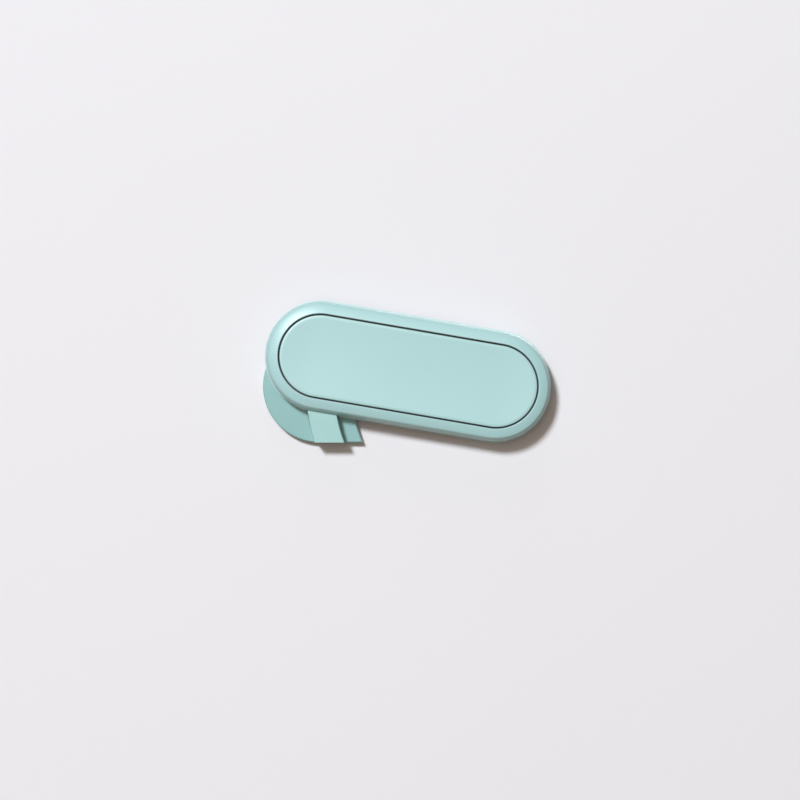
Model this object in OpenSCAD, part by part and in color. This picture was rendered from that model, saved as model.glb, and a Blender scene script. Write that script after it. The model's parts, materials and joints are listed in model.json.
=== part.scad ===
// Cabinet safety lock: a swinging arm on one door hooks over a curved rail on the other door.
// Pressing the long front panel draws a sprung pawl out of a notch in the rail, and the arm swings up.
// Pieces are drawn as they lie on the closed doors: x runs from the pivot along the closed arm, y runs up
// the door, and z is the height off the door. The last step turns that into the stored frame.

/* [Arm] */
// Distance from the pivot to the centre of the arm's far round end
pivot_span = 71.4; // [68:0.2:90]
// Radius of the arm's round ends, over the rim of the rear cover
arm_end_r = 22.8; // [22:0.1:25.4]
// Depth of the arm, from the back of its rear cover to its front
arm_depth = 10.2; // [10:0.1:13]
// Radius of the rounded front edge
edge_r = 4.7; // [3.6:0.1:4.8]
// Wall of the arm's frame
frame_wall = 1.8; // [1.2:0.1:2]
// Thickness of the rear cover's floor
cover_t = 1.6; // [1.2:0.1:1.8]
// How far the rear cover's rim stands out past the frame
frame_inset = 0.5; // [0.2:0.1:0.8]
// Angle of the arm above its closed place in the stored pose
rest_lift = 9.66; // [8:0.01:12]

/* [Press panel] */
// Width of the arm's rounded rim, from its outline to the middle of the groove
ring_w = 6.1; // [5.8:0.1:6.6]
// Width of the groove round the panel
groove_w = 0.7; // [0.4:0.1:1]
// Travel of the panel towards the door
press_travel = 1.5; // [1.2:0.1:1.6]
// Thickness of the panel's front skin
panel_skin = 1.6; // [1.2:0.1:1.8]

/* [Door plates] */
// Thickness of the adhesive foam pads
pad_t = 1.0; // [0.6:0.1:1.6]
// Thickness of both door plates
plate_t = 3.0; // [2.6:0.1:4]
// How far the pads keep back from the plates' edges
pad_inset = 1.0; // [0.5:0.1:3]
// Land of the catch plate between its edge at the door gap and the rail
plate_land = 6.7; // [4.6:0.1:8.6]
// Rounding of the plates' front edges
plate_edge_r = 0.6; // [0.3:0.1:1.2]

/* [Rail] */
// Distance from the arm's far end back to the rail's inner side
rail_from_end = 29.2; // [28.2:0.1:30.2]
// Width of the rail's web, which stands on the plate
web_w = 9.9; // [8.5:0.1:10.1]
// Overhang of the rail's flange past its web
flange_over = 1.5; // [1.2:0.1:1.8]
// Height of the rail's full-width foot above the plate's lower edge
foot_up = 7.0; // [5.4:0.1:8.4]
// Clearance between the rail's sides and the arm's slot
rail_clear = 0.4; // [0.3:0.05:0.5]

/* [Pivot] */
// Radius of the moulded pivot post
post_r = 5.0; // [4:0.1:5.5]
// Radial running clearance of the hub on the post
run_gap = 0.05; // [0.03:0.01:0.09]
// Length of the rear cover's hub
hub_len = 3.2; // [2.8:0.1:3.4]
// Height left for the wave washer over the hub
wave_h = 0.8; // [0.6:0.05:0.9]
// Thickness of the retaining washer
retainer_t = 0.8; // [0.5:0.1:1]
// Radius of the pivot screw's shank
pivot_screw_r = 1.45; // [1.2:0.05:1.8]

/* [Pawl] */
// Width of the pawl's tooth
tooth_w = 5.0; // [4:0.1:6]
// How deep the tooth stands in the rail's notch
tooth_bite = 1.1; // [0.8:0.1:1.1]
// Width of the sliding pawl
pawl_w = 8.0; // [7.6:0.1:9]
// Thickness of the keeper plate over the pawl
keeper_t = 0.9; // [0.7:0.05:1]

/* [Springs] */
// Wire radius of the four panel springs
panel_wire_r = 0.25; // [0.2:0.01:0.3]
// Turns of each panel spring
panel_turns = 6; // [4:1:7]
// Wire radius of the pawl spring
pawl_wire_r = 0.15; // [0.12:0.01:0.2]
// Turns of the pawl spring
pawl_turns = 4; // [3:1:5]

/* [Hidden] */
$fn = 96;

// Colours, as red, green and blue shares
mint_shares = [0.73, 0.86, 0.86];
foam_shares = [0.93, 0.93, 0.91];
acetal_shares = [0.88, 0.88, 0.86];
steel_shares = [0.72, 0.73, 0.75];

// Overrun of every cut past the faces that it opens
cut_over = 1;
// Gap between flat faces that slide on each other
slide_gap = 0.1;
// Gap between pieces that are seated on each other
seat_gap = 0.05;

// Heights off the door, from the back outwards
plate_top = pad_t + plate_t;
thrust_t = 0.35;
cover_back = plate_top + thrust_t + seat_gap;
cover_floor = cover_back + cover_t;
rim_rise = 0.4;
rim_edge_r = 0.15;
rim_top = cover_floor + rim_rise;
frame_base = rim_top + slide_gap;
arm_top = cover_back + arm_depth;

// Arm frame
frame_r = arm_end_r - frame_inset;
opening_r = arm_end_r - ring_w + groove_w / 2;
edge = min(edge_r, frame_r - opening_r);
inner_edge = edge - frame_wall;
frame_inner_r = frame_r - frame_wall;
lip_t = 1.75;
lip_under = arm_top - lip_t;
lip_edge_r = 0.3;

// Press panel
panel_r = arm_end_r - ring_w - groove_w / 2;
panel_under = arm_top - panel_skin;
skirt_w = 1.45;
skirt_r = panel_r - skirt_w;
stop_flange_w = 1.85;
stop_flange_r = panel_r + stop_flange_w;
stop_flange_t = 0.95;
stop_flange_top = lip_under - seat_gap;
skirt_bottom = stop_flange_top - stop_flange_t;
stop_clear = 0.4;
stop_seat_r = stop_flange_r + stop_clear;
panel_root = panel_under + panel_skin / 2;
panel_rib_t = 1.2;
panel_rib_h = 1.0;
panel_rib_to_skirt = 8.4;
panel_rib_side = skirt_r - panel_rib_to_skirt;
panel_rib_to_washer = 2;

// Rail on the catch plate
rail_inner_r = pivot_span + arm_end_r - rail_from_end;
web_outer_r = rail_inner_r + web_w;
rail_outer_r = web_outer_r + flange_over;
plate_inner_r = rail_inner_r - plate_land;
rail_front_gap = 0.35;
rail_top = skirt_bottom - press_travel - rail_front_gap;
rail_back_gap = 0.8;
rail_under = cover_floor + rail_back_gap;
rail_edge_r = 0.4;
rail_end_inset = 0.1;
tooth_rest_gap = 0.3;
rail_end_a = rest_lift - asin((tooth_w / 2 + tooth_rest_gap) / web_outer_r);
foot_a = asin((arm_end_r - foot_up) / rail_outer_r);
rail_low_a = 2 * asin(arm_end_r / rail_inner_r);
slot_show = 0.4;
stop_gap = 0.3;
stop_gap_a = asin(stop_gap / rail_outer_r);
undercut_end_a = rail_end_a + 2 * stop_gap_a;
notch_clear = 0.35;
notch_gap = 0.2;
notch_depth = tooth_bite + notch_gap;
ramp_len = 2.4;
ramp_a = asin(ramp_len / rail_outer_r);

// Slots that let the rail into the arm
slot_inner_r = rail_inner_r - rail_clear;
slot_outer_r = web_outer_r + rail_clear;
mouth_outer_r = rail_outer_r + rail_clear;
mouth_a = foot_a - stop_gap_a;
mouth_top = rail_top + rail_clear;

// Pivot
pivot_plate_inset = 0.6;
pivot_plate_r = arm_end_r - pivot_plate_inset;
hub_bore_r = post_r + run_gap;
hub_wall = 2.15;
hub_r = hub_bore_r + hub_wall;
hub_top = cover_back + hub_len;
post_top = hub_top + wave_h;
ring_clear = 0.3;
thrust_w = 6.5;
wave_w = 1.8;
wave_t = 0.25;
waves = 3;
wave_steps = 48;
retainer_r = 8.0;
screw_clear = 0.25;
thread_gap = 0.05;
pivot_head_r = 3.2;
pivot_head_h = 1.6;
pivot_head_edge = 0.7;
pivot_screw_len = 6.5;
screw_tip_gap = 0.5;
recess_w = 0.8;
recess_len = 3.4;
recess_d = 0.8;

// Pawl, its guide on the rear cover, and its keeper
pawl_tip = rail_outer_r - tooth_bite;
tooth_len = 1.6;
pawl_front = pawl_tip + tooth_len;
pawl_bar = 1.5;
pawl_window = pawl_front + pawl_bar;
keeper_clear = 0.65;
keeper_top = panel_under - press_travel - keeper_clear;
keeper_bottom = keeper_top - keeper_t;
pawl_bottom = cover_floor + slide_gap;
pawl_top = keeper_bottom - slide_gap;
tooth_gap = 0.2;
tooth_bottom = rail_under + tooth_gap;
tooth_top = pawl_top - tooth_gap;
tooth_bevel = 1.1;
leg_clear = 0.3;
leg_front = pawl_window + press_travel + leg_clear;
leg_foot = 1.2;
leg_w = 4.0;
leg_floor_gap = 0.2;
leg_bottom = cover_floor + press_travel + leg_floor_gap;
wedge_rise = pawl_top - leg_bottom;
leg_back = leg_front + leg_foot + wedge_rise;
window_w = leg_w + 2 * leg_clear;
pawl_back_bar = 2.4;
pawl_back = leg_back + slide_gap + pawl_back_bar;
pocket_d = 0.5;
pawl_spring_r = 1.3;
pawl_spring_h = (pawl_bottom + pawl_top) / 2;
pocket_r = pawl_spring_r + pawl_wire_r + slide_gap;
seat_wall_t = 1.1;
seat_wall_w = 5.0;
seat_wall_clear = 0.5;
seat_wall_back = pivot_span + frame_inner_r - seat_wall_clear;
seat_wall_front = seat_wall_back - seat_wall_t;
guide_wall = 1.2;
guide_side = pawl_w / 2 + slide_gap;
guide_front = pawl_front + slide_gap;
guide_back = pawl_back + press_travel;
keeper_w = 2 * (guide_side + guide_wall);
keeper_back = pivot_span + sqrt(skirt_r * skirt_r - keeper_w * keeper_w / 4) - stop_clear;
ear_r = 2.2;
ear_boss_r = 2.0;
ear_boss_root = 0.1;
ear_side = guide_side + guide_wall + ear_boss_r - ear_boss_root;
ear_d = leg_front + leg_foot;
keeper_screw_r = 0.8;
keeper_screw_head_r = 1.5;
keeper_screw_head_h = 0.75;
keeper_screw_len = 3.2;

// Panel springs, their cups on the rear cover and their pins on the panel
spring_coil_r = 1.85;
spring_to_skirt = 3.9;
spring_side = skirt_r - spring_to_skirt;
spring_inner_d = 16;
spring_to_slot = 10;
spring_outer_d = slot_inner_r - spring_to_slot;
cup_clear = 0.35;
cup_wall = 0.65;
cup_h = 1.4;
cup_inner_r = spring_coil_r + panel_wire_r + cup_clear;
pin_clear = 0.3;
pin_r = spring_coil_r - panel_wire_r - pin_clear;
pin_len = 2.1;
panel_spring_rise = panel_under - cover_floor - 2 * panel_wire_r - 2 * seat_gap;
pawl_spring_start = pawl_back - pocket_d + seat_gap + pawl_wire_r;
pawl_spring_rise = seat_wall_front - seat_gap - pawl_wire_r - pawl_spring_start;
curl_rings = 8;
wire_sides = 6;

// Screws that hold the frame to the rear cover
boss_r = 2.6;
boss_to_wall = 2.1;
boss_a = 61.4;
boss_out = (frame_inner_r - boss_to_wall) * cos(boss_a);
boss_side = (frame_inner_r - boss_to_wall) * sin(boss_a);
pilot_r = 1.0;
cover_screw_r = 0.95;
cover_recess_len = 2 * cover_screw_r;
cover_head_r = 1.9;
cover_head_h = 1.2;
cover_head_sink = 0.2;
cover_boss_rise = 1.0;
cover_boss_top = cover_floor + cover_boss_rise;
boss_clear = 0.5;
boss_top = skirt_bottom - press_travel - boss_clear;
pilot_roof = 1.2;
pilot_top = boss_top - pilot_roof;
head_clear = 0.2;
cover_recess_d = cover_head_sink + cover_head_h + slide_gap;
cover_screw_len = pilot_top - head_clear - cover_back - cover_head_sink - cover_head_h;

// Inner lip of the rear cover, which centres the frame, and its floor ribs
cover_lip_t = 1.2;
cover_lip_h = 1.8;
cover_lip_clear = 0.2;
cover_lip_r = frame_inner_r - cover_lip_clear;
rib_t = 1.0;
rib_h = 1.2;
rib_to_spring = 5.0;
rib_side = spring_side - rib_to_spring;
rib_end_gap = 2.5;

// Places of the four springs and the four cover screws
spring_spots = [
    [spring_inner_d, spring_side], [spring_inner_d, -spring_side],
    [spring_outer_d, spring_side], [spring_outer_d, -spring_side]
];
screw_spots = [
    for (along = [-boss_out, pivot_span + boss_out], side = [-boss_side, boss_side]) [along, side]
];
ear_spots = [[ear_d, ear_side], [ear_d, -ear_side]];

// A point at distance r from the pivot, at angle a above the closed arm's axis
function around_pivot(r, a) = [r * cos(a), r * sin(a)];

// Corner points of a wire's section, n of them, at one step along a coil
function wire_section(coil_r, wire_r, turn, lift, n) = [
    for (i = [0 : n - 1])
        let (out = coil_r + wire_r * cos(360 * i / n))
        [out * cos(360 * turn), out * sin(360 * turn), lift + wire_r * sin(360 * i / n)]
];

// Middle points of a coil's wire, from one end to the other
function coil_path(coil_r, rise, turns) = [
    for (i = [0 : turns * curl_rings])
        let (turn = i / curl_rings)
        [coil_r * cos(360 * turn), coil_r * sin(360 * turn), rise * turn / turns]
];

// Least distance between a coil's wire and its own next turn
function coil_gap(coil_r, wire_r, rise, turns) =
    let (path = coil_path(coil_r, rise, turns), last = len(path) - 1)
    min([
        for (i = [0 : last - curl_rings + 1], j = [i + curl_rings - 1 : min(last, i + curl_rings + 1)])
            norm(path[j] - path[i])
    ]) - 2 * wire_r;

// Faces of a tube through sections of n corners, closed into a ring or capped at both ends
function tube_faces(sections, n, ring) = concat(
    [
        for (s = [0 : sections - (ring ? 1 : 2)], i = [0 : n - 1])
            let (next = (s + 1) % sections, j = (i + 1) % n)
            each [[s * n + i, s * n + j, next * n + j], [s * n + i, next * n + j, next * n + i]]
    ],
    ring ? [] : [
        for (i = [1 : n - 2])
            each [[0, i + 1, i], [(sections - 1) * n, (sections - 1) * n + i, (sections - 1) * n + i + 1]]
    ]
);

// Turns the closed layout into the stored frame: the door's plane stands upright behind the piece
module on_door() {
    rotate([90, 0, 0])
        mirror([1, 0, 0])
            children();
}

// Places what swings with the arm, lifted to its stored pose
module on_arm() {
    on_door()
        rotate([0, 0, rest_lift])
            children();
}

// Carries a profile, drawn as distance from the middle line and height, all round the arm's outline
module round_outline() {
    rotate([0, 0, 90])
        rotate_extrude(angle = 180)
            children();
    translate([pivot_span, 0, 0])
        rotate([0, 0, -90])
            rotate_extrude(angle = 180)
                children();
    for (side = [0, 1])
        mirror([0, side, 0])
            rotate([90, 0, 90])
                linear_extrude(height = pivot_span)
                    children();
}

// A block bent round the pivot, between two radii, two heights and two angles
module arc_block(r_in, r_out, h_low, h_high, a_low, a_high) {
    rotate([0, 0, a_low])
        rotate_extrude(angle = a_high - a_low)
            translate([r_in, h_low])
                square([r_out - r_in, h_high - h_low]);
}

// Extrudes a profile drawn along the arm and off the door, centred across the arm
module across(width) {
    rotate([90, 0, 0])
        linear_extrude(height = width, center = true)
            children();
}

// A block between two distances along the arm and two heights, centred across it
module bar(along_low, along_high, h_low, h_high, width) {
    translate([along_low, -width / 2, h_low])
        cube([along_high - along_low, width, h_high - h_low]);
}

// Half profile of a slab with its outer front corner rounded
module slab_profile(r, h_low, h_high, round_r) {
    translate([0, h_low])
        square([r, h_high - h_low - round_r]);
    translate([0, h_low])
        square([r - round_r, h_high - h_low]);
    translate([r - round_r, h_high - round_r])
        intersection() {
            circle(round_r);
            square(round_r);
        }
}

// Profile of a bar with both its front corners rounded
module rail_profile(r_in, r_out, h_low) {
    translate([r_in, h_low])
        square([r_out - r_in, rail_top - h_low - rail_edge_r]);
    translate([r_in + rail_edge_r, h_low])
        square([r_out - r_in - 2 * rail_edge_r, rail_top - h_low]);
    for (x = [r_in + rail_edge_r, r_out - rail_edge_r])
        translate([x, rail_top - rail_edge_r])
            circle(rail_edge_r);
}

// What a rounded edge takes away at the corner of a slab, towards falling x
module edge_cut(round_r) {
    difference() {
        translate([-cut_over, 0])
            square([cut_over + round_r, cut_over + round_r]);
        translate([round_r, 0])
            circle(round_r);
    }
}

// The arc rail at its full width, with the pawl's notch and the ramp at its upper end
module arc_rail() {
    difference() {
        rotate([0, 0, -rail_low_a])
            rotate_extrude(angle = rail_low_a + rail_end_a)
                rail_profile(rail_inner_r, rail_outer_r, plate_top - cut_over);
        // the notch that the pawl's tooth stands in
        bar(
            rail_outer_r - notch_depth, rail_outer_r + cut_over, rail_under - cut_over, rail_top + cut_over,
            tooth_w + 2 * notch_clear
        );
        // the ramp that pushes the tooth out as the arm comes down
        translate([0, 0, rail_under - cut_over])
            linear_extrude(height = rail_top - rail_under + 2 * cut_over)
                polygon([
                    around_pivot(rail_outer_r - tooth_bite, rail_end_a),
                    around_pivot(rail_outer_r, rail_end_a - ramp_a),
                    around_pivot(rail_outer_r + cut_over, rail_end_a - ramp_a),
                    around_pivot(rail_outer_r + cut_over, rail_end_a + ramp_a),
                    around_pivot(rail_outer_r - tooth_bite, rail_end_a + ramp_a)
                ]);
    }
}

module catch_plate() {
    color(mint_shares)
        on_door()
            difference() {
                union() {
                    round_outline()
                        slab_profile(arm_end_r, pad_t, plate_top, plate_edge_r);
                    intersection() {
                        arc_rail();
                        round_outline()
                            square([arm_end_r - rail_end_inset, arm_top]);
                    }
                }
                // the edge at the door gap, with its rounding
                rotate_extrude() {
                    translate([0, pad_t - cut_over])
                        square([plate_inner_r, plate_t + 2 * cut_over]);
                    translate([plate_inner_r, plate_top - plate_edge_r])
                        edge_cut(plate_edge_r);
                }
                // the undercut that leaves the flange, cut right through the plate, where the mould shuts off
                arc_block(
                    web_outer_r, rail_outer_r + slot_show, pad_t - cut_over, rail_under,
                    -foot_a, undercut_end_a
                );
            }
}

module catch_pad() {
    color(foam_shares)
        on_door()
            difference() {
                round_outline()
                    square([arm_end_r - pad_inset, pad_t]);
                translate([0, 0, -cut_over])
                    cylinder(r = plate_inner_r + pad_inset, h = pad_t + 2 * cut_over);
            }
}

module pivot_plate() {
    color(mint_shares)
        on_door()
            difference() {
                rotate_extrude() {
                    slab_profile(pivot_plate_r, pad_t, plate_top, plate_edge_r);
                    translate([0, pad_t])
                        square([post_r, post_top - pad_t]);
                }
                translate([0, 0, post_top + retainer_t - pivot_screw_len - screw_tip_gap])
                    cylinder(r = pivot_screw_r + thread_gap, h = pivot_screw_len + cut_over);
            }
}

module pivot_pad() {
    color(foam_shares)
        on_door()
            cylinder(r = pivot_plate_r - pad_inset, h = pad_t);
}

// A flat ring round the pivot
module washer(r_in, r_out, h_low, thickness) {
    rotate_extrude()
        translate([r_in, h_low])
            square([r_out - r_in, thickness]);
}

module thrust_washer() {
    color(acetal_shares)
        on_door()
            washer(post_r + ring_clear, post_r + ring_clear + thrust_w, plate_top, thrust_t);
}

// A spring ring bent into waves, which presses the hub down and holds the arm where it is put
module wave_washer() {
    swing = (wave_h - wave_t) / 2 - slide_gap / 2;
    r_in = post_r + ring_clear;
    middle = hub_top + wave_h / 2;
    color(steel_shares)
        on_door()
            polyhedron(
                points = [
                    for (s = [0 : wave_steps - 1])
                        let (a = 360 * s / wave_steps, lift = middle + swing * cos(waves * a))
                        each [
                            [r_in * cos(a), r_in * sin(a), lift - wave_t / 2],
                            [(r_in + wave_w) * cos(a), (r_in + wave_w) * sin(a), lift - wave_t / 2],
                            [(r_in + wave_w) * cos(a), (r_in + wave_w) * sin(a), lift + wave_t / 2],
                            [r_in * cos(a), r_in * sin(a), lift + wave_t / 2]
                        ]
                ],
                faces = tube_faces(wave_steps, 4, true)
            );
}

module retaining_washer() {
    color(steel_shares)
        on_door()
            washer(pivot_screw_r + screw_clear, retainer_r, post_top, retainer_t);
}

// A crossed recess in a screw's head, cut down from height h
module cross_recess(length, h, depth) {
    for (turn = [0, 90])
        rotate([0, 0, turn])
            translate([-length / 2, -recess_w / 2, h - depth])
                cube([length, recess_w, depth + cut_over]);
}

module pivot_screw() {
    head_base = post_top + retainer_t;
    color(steel_shares)
        on_door()
            difference() {
                rotate_extrude() {
                    translate([0, head_base - pivot_screw_len])
                        square([pivot_screw_r, pivot_screw_len + pivot_head_h / 2]);
                    slab_profile(pivot_head_r, head_base, head_base + pivot_head_h, pivot_head_edge);
                }
                cross_recess(recess_len, head_base + pivot_head_h, recess_d);
            }
}

// The rounded slots in the arm that the rail passes through, open at the arm's lower side
module rail_slots(h_low, h_high) {
    arc_block(slot_inner_r, slot_outer_r, h_low, h_high, -rail_low_a, rail_end_a + stop_gap_a);
    arc_block(slot_inner_r, mouth_outer_r, h_low, h_high, -rail_low_a, -mouth_a);
}

module rear_cover_shell() {
    // floor and rim
    round_outline() {
        difference() {
            slab_profile(arm_end_r, cover_back, rim_top, rim_edge_r);
            translate([0, cover_floor])
                square([frame_inner_r, rim_rise + cut_over]);
        }
        translate([cover_lip_r - cover_lip_t, cover_floor - rim_rise])
            square([cover_lip_t, rim_rise + cover_lip_h]);
    }
    // hub on the pivot post
    translate([0, 0, cover_back])
        cylinder(r = hub_r, h = hub_len);
    // cups of the panel springs
    for (spot = spring_spots)
        translate([spot.x, spot.y, cover_back])
            cylinder(r = cup_inner_r + cup_wall, h = cover_t + cup_h);
    // bosses round the cover screws, inside the frame's wall, and under the keeper's ears
    intersection() {
        for (spot = screw_spots)
            translate([spot.x, spot.y, cover_back])
                cylinder(r = boss_r, h = cover_boss_top - cover_back);
        round_outline()
            square([cover_lip_r, arm_top]);
    }
    for (spot = ear_spots)
        translate([spot.x, spot.y, cover_back])
            cylinder(r = ear_boss_r, h = keeper_bottom - cover_back);
    // side walls that guide the pawl
    for (side = [-1, 1])
        translate([0, side * (guide_side + guide_wall / 2), 0])
            bar(guide_front, guide_back, cover_floor - rim_rise, keeper_bottom, guide_wall);
    // wall behind the pawl's spring
    bar(seat_wall_front, seat_wall_back, cover_floor - rim_rise, keeper_bottom, seat_wall_w);
    // stiffening ribs of the floor
    for (side = [-1, 1])
        translate([0, side * rib_side, 0])
            bar(
                hub_r + rib_end_gap, slot_inner_r - rib_end_gap, cover_floor - rim_rise, cover_floor + rib_h,
                rib_t
            );
}

module rear_cover() {
    color(mint_shares)
        on_arm()
            difference() {
                rear_cover_shell();
                translate([0, 0, cover_back - cut_over])
                    cylinder(r = hub_bore_r, h = hub_len + 2 * cut_over);
                rail_slots(cover_back - cut_over, cover_floor + cover_lip_h + cut_over);
                for (spot = spring_spots)
                    translate([spot.x, spot.y, cover_floor])
                        cylinder(r = cup_inner_r, h = cup_h + cut_over);
                for (spot = screw_spots)
                    translate([spot.x, spot.y, cover_back - cut_over]) {
                        cylinder(r = cover_head_r + head_clear, h = cover_recess_d + cut_over);
                        cylinder(
                            r = cover_screw_r + head_clear,
                            h = cover_boss_top - cover_back + 2 * cut_over
                        );
                    }
                for (spot = ear_spots)
                    translate([spot.x, spot.y, keeper_bottom - keeper_screw_len])
                        cylinder(r = keeper_screw_r + thread_gap, h = keeper_screw_len + cut_over);
                // room for the frame's bosses in the lip
                for (spot = screw_spots)
                    translate([spot.x, spot.y, cover_boss_top])
                        cylinder(r = boss_r + cover_lip_clear, h = cover_lip_h);
            }
}

module arm_frame() {
    color(mint_shares)
        on_arm()
            difference() {
                union() {
                    round_outline()
                        difference() {
                            slab_profile(frame_r, frame_base, arm_top, edge);
                            slab_profile(
                                frame_inner_r, frame_base - cut_over, arm_top - frame_wall, inner_edge
                            );
                            translate([0, frame_base - cut_over])
                                square([stop_seat_r, lip_under - frame_base + cut_over]);
                            translate([0, frame_base])
                                square([opening_r, arm_depth]);
                            translate([opening_r, arm_top - lip_edge_r])
                                edge_cut(lip_edge_r);
                        }
                    for (spot = screw_spots)
                        translate([spot.x, spot.y, cover_boss_top + seat_gap])
                            cylinder(r = boss_r, h = boss_top - cover_boss_top - seat_gap);
                }
                // the mouth in the lower wall that the rail comes in through
                arc_block(
                    slot_inner_r, mouth_outer_r, frame_base - cut_over, mouth_top, -rail_low_a, -foot_a
                );
                for (spot = screw_spots)
                    translate([spot.x, spot.y, cover_boss_top - cut_over])
                        cylinder(r = pilot_r, h = pilot_top - cover_boss_top + cut_over);
            }
}

// The leg that wedges the pawl back: its far face slopes at 45 degrees
module wedge_leg() {
    across(leg_w)
        polygon([
            [leg_front, leg_bottom],
            [leg_front + leg_foot, leg_bottom],
            [leg_back, leg_bottom + wedge_rise],
            [leg_back, panel_root],
            [leg_front, panel_root]
        ]);
}

module press_panel() {
    color(mint_shares)
        on_arm() {
            round_outline() {
                slab_profile(panel_r, panel_under, arm_top, lip_edge_r);
                translate([skirt_r, skirt_bottom])
                    square([skirt_w, panel_root - skirt_bottom]);
                translate([skirt_r, skirt_bottom])
                    square([stop_flange_r - skirt_r, stop_flange_t]);
            }
            wedge_leg();
            for (spot = spring_spots)
                translate([spot.x, spot.y, panel_under - pin_len])
                    cylinder(r = pin_r, h = panel_root - panel_under + pin_len);
            for (side = [-1, 1])
                translate([0, side * panel_rib_side, 0])
                    bar(
                        retainer_r + panel_rib_to_washer, slot_inner_r, panel_under - panel_rib_h, panel_root,
                        panel_rib_t
                    );
        }
}

// A helical spring standing on the origin, between two heights of its wire's middle
module coil_spring(coil_r, wire_r, rise, turns) {
    rings = turns * curl_rings + 1;
    polyhedron(
        points = [
            for (i = [0 : rings - 1])
                let (turn = i / curl_rings)
                each wire_section(coil_r, wire_r, turn, rise * turn / turns, wire_sides)
        ],
        faces = tube_faces(rings, wire_sides, false)
    );
}

echo(panel_spring_gap = coil_gap(spring_coil_r, panel_wire_r, panel_spring_rise, panel_turns));

module panel_spring(spot) {
    color(steel_shares)
        on_arm()
            translate([spot.x, spot.y, cover_floor + seat_gap + panel_wire_r])
                coil_spring(spring_coil_r, panel_wire_r, panel_spring_rise, panel_turns);
}

module latch_pawl() {
    // where the window's sloping face meets the pawl's front
    slope_top = leg_back + slide_gap;
    color(acetal_shares)
        on_arm()
            difference() {
                union() {
                    bar(pawl_front, pawl_back, pawl_bottom, pawl_top, pawl_w);
                    // the tooth, square where it locks and bevelled where it rides over the rail's end
                    translate([0, 0, tooth_bottom])
                        linear_extrude(height = tooth_top - tooth_bottom)
                            polygon([
                                [pawl_tip, tooth_w / 2],
                                [pawl_front + pawl_bar / 2, tooth_w / 2],
                                [pawl_front + pawl_bar / 2, -tooth_w / 2],
                                [pawl_tip + tooth_bevel, -tooth_w / 2],
                                [pawl_tip, tooth_bevel - tooth_w / 2]
                            ]);
                }
                // the window for the panel's leg, with the sloping face that the leg pushes
                across(window_w)
                    polygon([
                        [pawl_window, pawl_bottom - cut_over],
                        [slope_top - (pawl_top - pawl_bottom) - cut_over, pawl_bottom - cut_over],
                        [slope_top + cut_over, pawl_top + cut_over],
                        [pawl_window, pawl_top + cut_over]
                    ]);
                translate([pawl_back - pocket_d, 0, pawl_spring_h])
                    rotate([0, 90, 0])
                        cylinder(r = pocket_r, h = pocket_d + cut_over);
            }
}

echo(pawl_spring_gap = coil_gap(pawl_spring_r, pawl_wire_r, pawl_spring_rise, pawl_turns));

module pawl_spring() {
    color(steel_shares)
        on_arm()
            translate([pawl_spring_start, 0, pawl_spring_h])
                rotate([0, 90, 0])
                    coil_spring(pawl_spring_r, pawl_wire_r, pawl_spring_rise, pawl_turns);
}

module pawl_keeper() {
    color(steel_shares)
        on_arm()
            difference() {
                union() {
                    bar(guide_front, keeper_back, keeper_bottom, keeper_top, keeper_w);
                    bar(ear_d - ear_r, ear_d + ear_r, keeper_bottom, keeper_top, 2 * ear_side);
                    for (spot = ear_spots)
                        translate([spot.x, spot.y, keeper_bottom])
                            cylinder(r = ear_r, h = keeper_t);
                }
                // the window for the panel's leg
                bar(
                    leg_front - leg_clear, leg_back + leg_clear,
                    keeper_bottom - cut_over, keeper_top + cut_over, window_w
                );
                for (spot = ear_spots)
                    translate([spot.x, spot.y, keeper_top])
                        countersunk_hole();
            }
}

// Hole for a countersunk screw, measured down from the face that it is flush with
module countersunk_hole() {
    translate([0, 0, -keeper_t - cut_over])
        cylinder(r = keeper_screw_r + thread_gap, h = keeper_t + cut_over);
    rotate_extrude()
        polygon([
            [0, -keeper_screw_head_h],
            [keeper_screw_r + thread_gap, -keeper_screw_head_h],
            [keeper_screw_head_r + thread_gap, 0],
            [keeper_screw_head_r + thread_gap, cut_over],
            [0, cut_over]
        ]);
}

module keeper_screws() {
    color(steel_shares)
        on_arm()
            for (spot = ear_spots)
                translate([spot.x, spot.y, keeper_top])
                    rotate_extrude()
                        polygon([
                            [0, -keeper_t - keeper_screw_len + screw_tip_gap],
                            [keeper_screw_r, -keeper_t - keeper_screw_len + screw_tip_gap],
                            [keeper_screw_r, -keeper_screw_head_h],
                            [keeper_screw_head_r, 0],
                            [0, 0]
                        ]);
}

module cover_screws() {
    color(steel_shares)
        on_arm()
            for (spot = screw_spots)
                translate([spot.x, spot.y, cover_back + cover_head_sink])
                    difference() {
                        union() {
                            cylinder(r = cover_head_r, h = cover_head_h);
                            cylinder(r = cover_screw_r, h = cover_head_h + cover_screw_len);
                        }
                        mirror([0, 0, 1])
                            cross_recess(cover_recess_len, 0, recess_d);
                    }
}

catch_plate();
catch_pad();
pivot_plate();
pivot_pad();
thrust_washer();
wave_washer();
retaining_washer();
pivot_screw();
rear_cover();
cover_screws();
arm_frame();
press_panel();
panel_spring(spring_spots[0]);  // panel_spring_inner_upper
panel_spring(spring_spots[1]);  // panel_spring_inner_lower
panel_spring(spring_spots[2]);  // panel_spring_outer_upper
panel_spring(spring_spots[3]);  // panel_spring_outer_lower
latch_pawl();
pawl_spring();
pawl_keeper();
keeper_screws();
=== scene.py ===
import json
import math

import bmesh
import bpy
from mathutils import Matrix, Vector


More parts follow.
